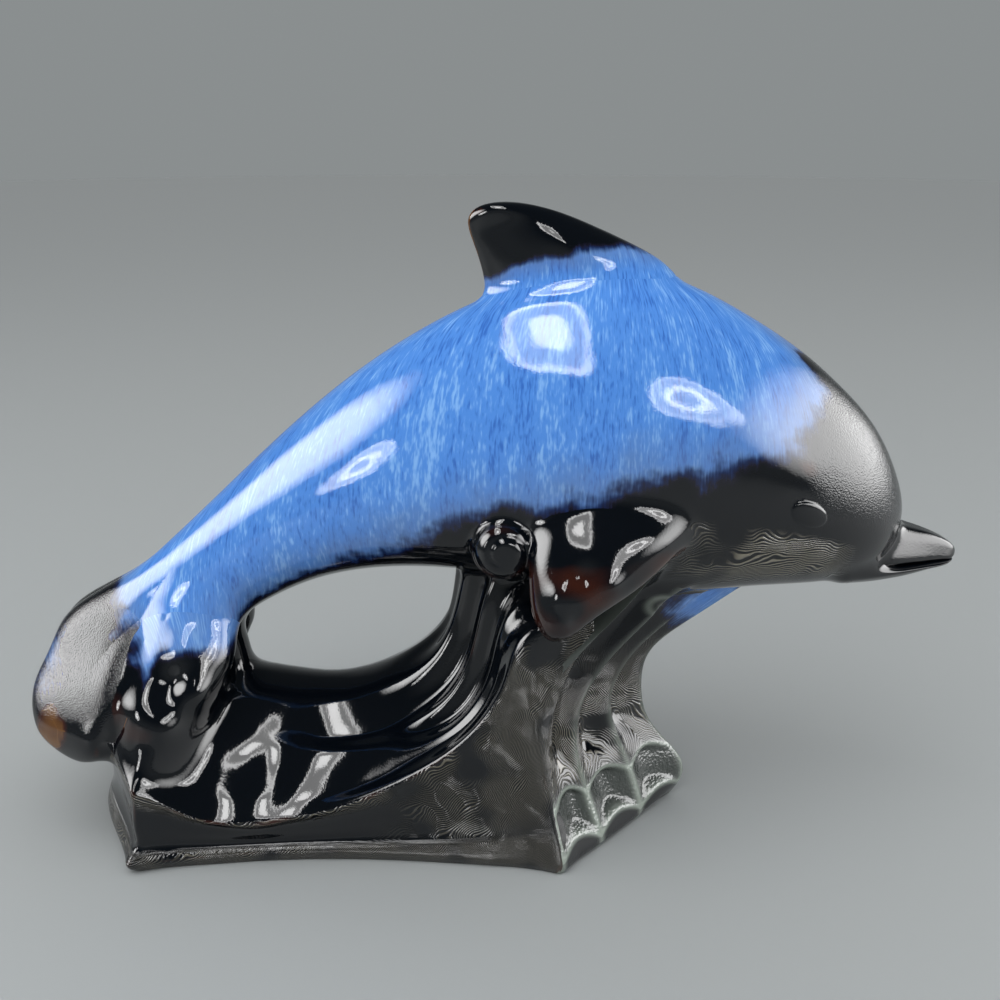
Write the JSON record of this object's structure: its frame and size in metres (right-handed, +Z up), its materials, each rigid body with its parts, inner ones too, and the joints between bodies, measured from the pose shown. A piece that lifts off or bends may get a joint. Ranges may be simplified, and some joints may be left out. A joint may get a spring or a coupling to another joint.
{
  "type": "ceramic dolphin figurine",
  "caption": "Glazed ceramic dolphin leaping over a breaking wave, slip-cast hollow, with an open window under its belly and a flat foot to stand on.",
  "frame": {"origin": "middle of the bounding box in plan, on the table that the foot stands on", "axes": "+X is the way the dolphin leaps, +Z is up, and -Y is the dolphin's right-hand side, which faces the picture's camera"},
  "size_m": [0.2566, 0.0906, 0.1722],
  "materials": {
    "body_glaze": "glossy mid-blue reactive glaze, streaked light and dark, over black",
    "wave_glaze": "glossy blue-black glaze that breaks to golden brown on sharp ridges",
    "limb_glaze": "glossy blue-black glaze on the fin, flippers, flukes, beak and eyes"
  },
  "bodies": {
    "root": {"body_shell": "body_glaze", "dorsal_fin": "limb_glaze", "upper_beak": "limb_glaze", "lower_jaw": "limb_glaze", "right_eye": "limb_glaze", "left_eye": "limb_glaze", "right_flipper": "limb_glaze", "left_flipper": "limb_glaze", "right_fluke": "limb_glaze", "left_fluke": "limb_glaze", "wave_base": "wave_glaze", "wave_crest": "wave_glaze", "right_curl": "wave_glaze", "left_curl": "wave_glaze", "right_foam": "wave_glaze", "left_foam": "wave_glaze", "tail_post": "wave_glaze"}
  },
  "joints": []
}
